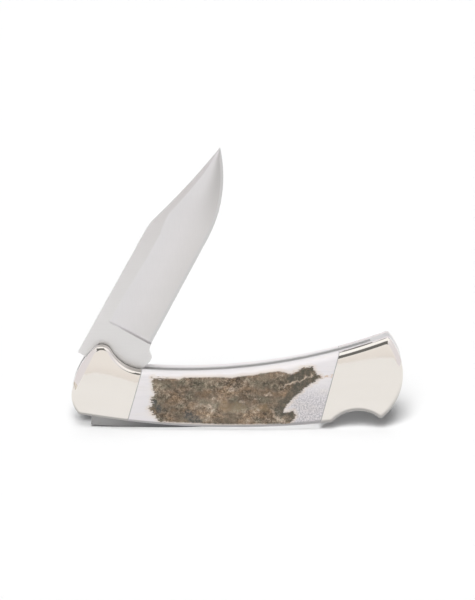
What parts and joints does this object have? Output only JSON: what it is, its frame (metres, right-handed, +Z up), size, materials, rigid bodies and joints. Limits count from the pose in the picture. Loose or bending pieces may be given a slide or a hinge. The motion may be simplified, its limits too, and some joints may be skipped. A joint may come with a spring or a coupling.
{
  "type": "folding pocket knife",
  "caption": "Folding hunter with a clip-point blade, back lock bar, polished metal bolsters and antler scales, standing on its spine with the blade half open.",
  "frame": {"origin": "under the middle of the closed handle's length, on the mid-plane, on the floor that the lock bar's belly touches", "axes": "+X along the handle from the pivot end to the butt, +Y across the handle away from the viewer, +Z up from the spine to the blade slot"},
  "size_m": [0.108, 0.015, 0.0928],
  "materials": {
    "nickel_silver": "polished nickel silver",
    "liner_metal": "satin nickel silver",
    "antler": "stag antler, ivory with brown bark",
    "blade_steel": "satin, hollow ground",
    "bar_steel": "polished along the spine",
    "spring_steel": "tempered spring steel",
    "pin_steel": "ground pin",
    "washer_bronze": "phosphor bronze"
  },
  "bodies": {
    "handle": {"near_liner": "liner_metal", "near_front_bolster": "nickel_silver", "near_rear_bolster": "nickel_silver", "near_scale": "antler", "near_front_bolster_rivets": "nickel_silver", "near_scale_pins": "pin_steel", "near_pivot_washer": "washer_bronze", "far_liner": "liner_metal", "far_front_bolster": "nickel_silver", "far_rear_bolster": "nickel_silver", "far_scale": "antler", "far_front_bolster_rivets": "nickel_silver", "far_scale_pins": "pin_steel", "far_pivot_washer": "washer_bronze", "pivot_pin": "pin_steel", "lock_bar_pin": "pin_steel", "rear_bolster_rivets": "nickel_silver", "lock_spring": "spring_steel", "spring_holder": "liner_metal"},
    "blade": {"blade": "blade_steel"},
    "lock_bar": {"lock_bar": "bar_steel"}
  },
  "joints": [
    {"name": "blade_pivot", "type": "hinge", "parent": "handle", "child": "blade", "pos_m": [-0.04309, 0, 0.01699], "axis": [0, -1, 0], "range_deg": [-62.7, 108.8]},
    {"name": "lock_bar_rock", "type": "hinge", "parent": "handle", "child": "lock_bar", "pos_m": [0.003, 0, 0.00348], "axis": [0, -1, 0], "range_deg": [0, 1.8], "stiffness_Nm_per_rad": 0.6, "springref_deg": -20.05, "deforming": ["lock_spring"]}
  ]
}
